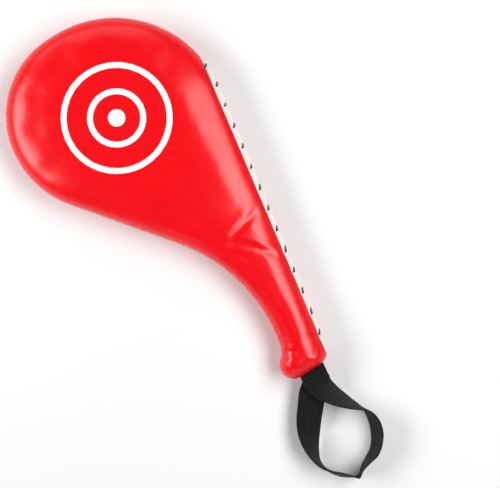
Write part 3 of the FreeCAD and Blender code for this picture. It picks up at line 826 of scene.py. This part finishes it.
def make_knot():
    """The run along the handle's back from the last stitch, an overhand knot and two tails."""
    last = FIRST_STITCH + PITCH * (STITCHES - 1)
    centre = surface_spot(LACED_LENGTH, 5.2, -1, 1.9)
    near, under = surface_spot(LACED_LENGTH - 6, 5.0, -1, 1.9), surface_spot(LACED_LENGTH, 8.2, -1, 1.9)
    along = (near - centre) / np.linalg.norm(near - centre)
    inner = (under - centre) / np.linalg.norm(under - centre)
    away = np.cross(along, inner)
    turn = np.linspace(0, 2 * np.pi, 60)
    loop = [centre + 1.15 * ((np.sin(t) + 2 * np.sin(2 * t)) * along / 1.7
                             + (np.cos(t) - 2 * np.cos(2 * t)) * inner / 1.8
                             - np.sin(3 * t) * away) for t in turn]
    spots = [surface_spot(last + gap, inset, -1, lift)
             for gap, inset, lift in ((-4.0, 3.4, 0.4), (1.0, 3.7, 1.0), (6.0, 4.4, 1.0))]
    run = curve_through(spots + [centre], 0.6)
    tails = []
    for spread, reach in ((0.15, 8.5), (0.75, 9.0)):
        way = along * math.cos(spread) + inner * math.sin(spread)
        middle = centre + way * reach * 0.55 - away * 0.3
        tails.append(curve_through([centre, middle, centre + way * reach], 0.5))
    obj = add_tubes("lacing_end_knot", [np.array(loop), run] + tails, 0.85, THREAD_BLACK)
    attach(obj, "paddle")
    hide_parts("lacing_knot")


def make_panel_stitching(side, name):
    """Small stitches that hold the red panel's edge to the white flap."""
    lines = []
    for down in np.arange(-30, LACED_LENGTH + 6, 3.6):
        width = flap_width(np.array([down]))[0]
        if width > 0.8:
            spots = [surface_spot(down + s, width + 0.9, side, lift)
                     for s, lift in ((0, -0.25), (0.35, 0.22), (1.1, 0.3), (1.9, 0.22), (2.2, -0.25))]
            lines.append(spots)
    obj = add_tubes(name, lines, 0.28, THREAD_RED, sides=6)
    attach(obj, "paddle")


def make_emblem(side, cover, name, node):
    """Two printed rings and a dot, laid on the cover's face."""
    mesh = cover.data
    tree = BVHTree.FromPolygons([v.co.copy() for v in mesh.vertices],
                                [tuple(p.vertices) for p in mesh.polygons])
    points, faces, base = [], [], 0
    for inner, outer in ((45.5, 51.0), (21.5, 27.0), (0.0, 8.0)):
        radii = [inner, inner + 0.08] + list(np.linspace(inner + 0.6, outer - 0.6, 4))
        radii += [outer - 0.08, outer]
        lifts = [-0.1, 0.1] + [0.14] * 4 + [0.1, -0.1]
        if inner == 0:
            lifts[:2] = [0.14, 0.14]
        sides = 220
        for s in range(sides):
            turn = 2 * math.pi * s / sides
            wobble = 0.05 * math.sin(31 * turn) + 0.04 * math.sin(53 * turn + 1)
            for radius, lift in zip(radii, lifts):
                r = radius + (wobble if radius else 0)
                x, y = EMBLEM_CENTRE + np.array([math.cos(turn), math.sin(turn)]) * r
                start = Vector((x * MM, y * MM, (MID + side * 40) * MM))
                hit = tree.ray_cast(start, Vector((0, 0, -side)))[0]
                points.append((x, y, hit.z / MM + side * lift))
        faces += [tuple(v + base for v in face) for face in grid_faces(sides, len(radii), True)]
        base += sides * len(radii)
    obj = add_mesh(name, points, flip(faces) if side > 0 else faces, PRINT)
    mesh = bmesh.new()
    mesh.from_mesh(obj.data)
    bmesh.ops.remove_doubles(mesh, verts=mesh.verts, dist=1e-6)
    bmesh.ops.recalc_face_normals(mesh, faces=mesh.faces)
    mesh.to_mesh(obj.data)
    mesh.free()
    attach(obj, "paddle")
    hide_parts(node)


# ---------------------------------------------------------------- inside the covers

def layer_points(spokes, side, thin, floor, flat):
    """A surface a given depth under the cover, or its flat floor."""
    rows = []
    for i in range(len(spokes.run)):
        foot, way, slant = spokes.foot[i], spokes.way[i], spokes.slant[i]
        reach = spokes.length[i] * slant
        inset, height, arcs = profile(foot[1], reach - thin, spokes.down[i], thin)
        ring = arcs[-1] * np.linspace(0, 1, 13)[:-1] ** 1.25
        d, h = np.interp(ring, arcs, inset), np.interp(ring, arcs, height)
        xy = foot + way * ((np.minimum(d + thin, reach * 0.985)) / slant)[:, None]
        bottom = floor(xy[:, 1])
        z = (half_height(xy[:, 1]) - thin) * h + slack(xy[:, 0], xy[:, 1], side) * h ** 2
        z = bottom if flat else np.maximum(z, bottom)
        rows.append(np.column_stack([xy, z]))
    spine = spokes.spine
    bottom = floor(spine[:, 1])
    top = half_height(spine[:, 1]) - thin + slack(spine[:, 0], spine[:, 1], side)
    top = bottom if flat else np.maximum(top, bottom)
    return np.array(rows), np.column_stack([spine, top])


def shell_faces(spokes, count, rows):
    """Faces of two skins of rings, each closed onto the spine, joined along their outer edge."""
    skin = grid_faces(count, rows, True)
    shift = count * rows + len(spokes.spine)
    rim = []
    for i in range(count):
        j = (i + 1) % count
        a, b = count * rows + spokes.level[i], count * rows + spokes.level[j]
        inner_edge = (i * rows + rows - 1, j * rows + rows - 1)
        skin.append((*inner_edge, b) if a == b else (*inner_edge, b, a))
        rim.append((j * rows, i * rows, shift + i * rows, shift + j * rows))
    return skin + [tuple(v + shift for v in reversed(face)) for face in skin] + rim


def closed_layer(name, node, side, thin, inner, floor, material, slot, fill):
    """A solid foam layer between two depths, or down to a flat floor where inner is None."""
    spokes = COARSE
    outer, outer_spine = layer_points(spokes, side, thin, floor, False)
    lower, lower_spine = layer_points(spokes, side, thin if inner is None else inner, floor,
                                      inner is None)
    count, rows = outer.shape[:2]
    verts = np.vstack([outer.reshape(-1, 3), outer_spine, lower.reshape(-1, 3), lower_spine])
    faces = shell_faces(spokes, count, rows)
    verts[:, 2] = MID + side * verts[:, 2]
    return add_mesh(name, verts, faces if side > 0 else flip(faces), material), slot, node, fill


def finish_layer(made, keep=None):
    """Keeps the part of a layer beyond a cut across the paddle, and joins it to the model."""
    obj, slot, node, fill = made
    mesh = bmesh.new()
    mesh.from_mesh(obj.data)
    bmesh.ops.remove_doubles(mesh, verts=mesh.verts, dist=1e-7)
    if keep:
        cut_y, up = keep
        geometry = mesh.verts[:] + mesh.edges[:] + mesh.faces[:]
        found = bmesh.ops.bisect_plane(mesh, geom=geometry, plane_co=(0, cut_y * MM, 0),
                                       plane_no=(0, 1, 0), clear_inner=up, clear_outer=not up)
        rim = [e for e in found["geom_cut"] if isinstance(e, bmesh.types.BMEdge)]
        bmesh.ops.holes_fill(mesh, edges=rim)
    bmesh.ops.recalc_face_normals(mesh, faces=mesh.faces)
    mesh.to_mesh(obj.data)
    mesh.free()
    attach(obj, "paddle")
    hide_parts(node)


PAD_THIN = 1.8
PAD_VOXEL = 5.0
PAD_LIMIT = 1.8
PAD_RIM = 0.4
PAD_SPACING = 2.5
PRESSURE = 4
CLOTH_FRAMES = 20


def evaluated(obj):
    return obj.evaluated_get(bpy.context.evaluated_depsgraph_get())


def simulate_swell():
    """Blows up a thinner copy of the pad as cloth, held along its seam. Keeps only how far it lifts,
    set lower over the head so that its crown stays at the CAD height."""
    spokes = Spokes(PAD_SPACING)
    outer, spine = layer_points(spokes, 1, PAD_THIN, lambda y: np.full_like(y, PAD_RIM), False)
    count, rows = outer.shape[:2]
    half = np.vstack([outer.reshape(-1, 3), spine])
    points = np.vstack([half, half * (1, 1, -1)]) + (0, 0, MID)
    pad = add_mesh("swelling_pad", points, shell_faces(spokes, count, rows), VINYL_RED)
    remesh = pad.modifiers.new("even", "REMESH")
    remesh.mode, remesh.voxel_size = "VOXEL", PAD_VOXEL * MM
    pad.data = bpy.data.meshes.new_from_object(evaluated(pad))
    pad.modifiers.clear()
    start = mesh_points(pad.data)
    seam = pad.vertex_groups.new(name="seam")
    seam.add([int(v) for v in np.nonzero(np.abs(start[:, 2] - MID) < PAD_VOXEL)[0]], 1, "REPLACE")
    cloth = pad.modifiers.new("cloth", "CLOTH")
    cloth.collision_settings.use_collision = False
    settings = cloth.settings
    settings.vertex_group_mass = seam.name
    settings.tension_stiffness = settings.compression_stiffness = 18
    settings.bending_stiffness = 0.4
    settings.use_pressure = True
    settings.uniform_pressure_force = PRESSURE
    settings.effector_weights.gravity = 0
    for frame_number in range(1, CLOTH_FRAMES + 1):
        scene.frame_set(frame_number)
    rise = mesh_points(evaluated(pad).data)[:, 2] - start[:, 2]
    scene.frame_set(1)
    bpy.data.objects.remove(pad)
    for side in (1, -1):
        near = side * (start[:, 2] - MID) > 0.45 * half_height(start[:, 1])
        lift = PAD_LIMIT * np.tanh(side * rise[near] / PAD_LIMIT)
        x, y = start[near, 0], start[near, 1]
        away = (GRID_X[:, None, None] - x) ** 2 + (GRID_Y[None, :, None] - y) ** 2
        weight = np.exp(-away / (2 * PAD_VOXEL ** 2)) + 1e-12
        settle = PAD_LIMIT * smooth(GRID_Y, RAMP_FOOT, RAMP_TOP)
        SWELL[side] = (weight * lift).sum(axis=2) / weight.sum(axis=2) - settle


def make_layers(side, word):
    soft_floor = lambda y: np.where(y < -88, 3.7, 2.5)
    firm_floor = lambda y: np.where(y < -88, 3.7, 1.7)
    finish_layer(closed_layer(word + "_wadding", word + "_soft_layer", side, 1.7, 7.3, soft_floor,
                              FOAM_SOFT, "foam_soft", 0.9))
    for part, node, up in (("_strike_pad", "_strike_foam", True), ("_grip_pad", "_grip_foam", False)):
        made = closed_layer(word + part, word + node, side, 7.6, None, firm_floor, FOAM_FIRM,
                            "foam_firm", 1.0)
        finish_layer(made, (12.3 if up else 11.7, up))


def make_pommel_wads():
    """Two small domes of foam that fill out the lump at the end of the handle."""
    centre = POMMEL
    points, faces, base = [], [], 0
    for side in (1, -1):
        rings = [(0.05, 3.9), (5.5, 3.9), (6.6, 4.1), (6.9, 4.8), (6.4, 5.9), (4.6, 6.9), (2.2, 7.3),
                 (0.05, 7.4)]
        sides = 32
        for s in range(sides):
            turn = 2 * math.pi * s / sides
            for radius, height in rings:
                r = radius * (1 + 0.03 * math.sin(3 * turn))
                points.append((*(centre + r * np.array([math.cos(turn), math.sin(turn)])),
                               MID + side * height))
        ring_faces = grid_faces(sides, len(rings), True)
        faces += [tuple(v + base for v in f) for f in (ring_faces if side > 0 else flip(ring_faces))]
        base += sides * len(rings)
    obj = add_mesh("pommel_wads", points, faces, FOAM_SOFT)
    clean(obj)
    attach(obj, "paddle")
    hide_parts("pommel_pads")


# ---------------------------------------------------------------- wrist strap

def strap_line():
    """The webbing's middle line with its lean, from one sewn-in end round to the other."""
    rows = []
    for x, y, lean, lift in STRAP_ROUTE:
        turn = math.radians(lean)
        rest = WEB_WIDTH / 2 * abs(math.sin(turn)) + WEB_THICK / 2 * abs(math.cos(turn))
        rows.append((x, y, rest + lift, lean))
    out = np.array([math.cos(OUTWARD), math.sin(OUTWARD)])
    ends = (-TAIL - 0.5, -22.0, -9.0, -0.5, 3.4)
    first = [(*(HINGE + out * d), MID - LEG_GAP, 0.0) for d in ends]
    last = [(*(HINGE + out * d), MID + LEG_GAP, 180.0) for d in reversed(ends)]
    return curve_through(np.array(first + rows + last), 0.9)


def make_webbing():
    """The strap in one piece, from tail to tail: ribbed between two plain edges, bent at the hinge."""
    line = strap_line()
    spots, leans = line[:, :3], np.radians(line[:, 3])
    along = np.gradient(spots, axis=0)
    along /= np.linalg.norm(along, axis=1)[:, None]
    flat = np.hypot(along[:, 0], along[:, 1])
    beside = np.column_stack([-along[:, 1] / flat, along[:, 0] / flat, 0 * flat])
    across = beside * np.cos(leans)[:, None] - np.array([0, 0, 1.0]) * np.sin(leans)[:, None]
    across -= along * np.sum(across * along, axis=1)[:, None]
    across /= np.linalg.norm(across, axis=1)[:, None]
    through = np.cross(along, across)
    distance = np.concatenate([[0], np.cumsum(np.linalg.norm(np.diff(spots, axis=0), axis=1))])
    half, thick = WEB_WIDTH / 2, WEB_THICK / 2
    rib_height, rib_pitch, plain_edge = 0.045, 1.9, 1.6
    ring = [(u, thick * (1 - 0.1 * abs(u / half) ** 6)) for u in np.linspace(-half + 0.5, half - 0.5, 27)]
    ring += [(half - 0.12, thick * 0.6), (half, 0.0), (half - 0.12, -thick * 0.6)]
    ring += [(u, -t) for u, t in reversed(ring[:27])]
    ring += [(-half + 0.12, -thick * 0.6), (-half, 0.0), (-half + 0.12, thick * 0.6)]
    points, uvs = [], []
    for k in range(len(line)):
        cup = 0.25 * math.sin(distance[k] / 19.0)
        ridge = rib_height * math.sin(2 * math.pi * distance[k] / rib_pitch)
        for u, t in ring:
            rib = ridge if abs(u) < half - plain_edge else 0.0
            bow = cup * (1 - (u / half) ** 2)
            points.append(spots[k] + across[k] * u + through[k] * (t + math.copysign(rib, t) + bow))
            uvs.append((u / WEB_WIDTH + 0.5, distance[k]))
    rows = len(ring)
    faces = []
    for k in range(len(line) - 1):
        for s in range(rows):
            t = (s + 1) % rows
            faces.append((k * rows + s, (k + 1) * rows + s, (k + 1) * rows + t, k * rows + t))
    faces.append(tuple(range(rows)))
    faces.append(tuple(reversed([(len(line) - 1) * rows + s for s in range(rows)])))
    obj = add_mesh("wrist_webbing", points, faces, WEBBING, uvs=uvs)
    mesh = bmesh.new()
    mesh.from_mesh(obj.data)
    bmesh.ops.recalc_face_normals(mesh, faces=mesh.faces)
    mesh.to_mesh(obj.data)
    mesh.free()
    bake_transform(obj)
    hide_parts("wrist_strap", "strap_tails")


# ---------------------------------------------------------------- build

make_camera()
make_lights()

simulate_swell()
SPOKES = Spokes(1.0)
COARSE = Spokes(5.0)
PUCKER = {side: 0.32 * waves(SPOKES.run, (6.1, 8.7, 12.9, 19.3), seed)
          * (0.55 + 0.45 * waves(SPOKES.run, (70, 113), seed + 1))
          for side, seed in ((1, 3), (-1, 8))}

for side, word in ((1, "front"), (-1, "back")):
    cover = make_cover(side, word + "_panel", word + "_cover")
    make_flap(side, word + "_white_flap", word + "_lace_flap")
    make_panel_stitching(side, word + "_panel_stitching")
    make_emblem(side, cover, word + "_target_print", word + "_emblem")
    make_layers(side, word)
make_pommel_wads()
make_lacing()
make_knot()
make_webbing()

for node, material in (("spine_board", BOARD), ("strap_bar_tacks", THREAD_BLACK),
                       ("cover_seam_stitching", THREAD_RED)):
    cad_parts[node].material_slots[0].material = material

floor_mesh = bpy.data.meshes.new("floor")
floor_mesh.from_pydata([(-4, -4, -0.0004), (4, -4, -0.0004), (4, 4, -0.0004), (-4, 4, -0.0004)], [],
                       [(0, 1, 2, 3)])
floor = bpy.data.objects.new("floor", floor_mesh)
scene.collection.objects.link(floor)
floor.data.materials.append(studio_paper())
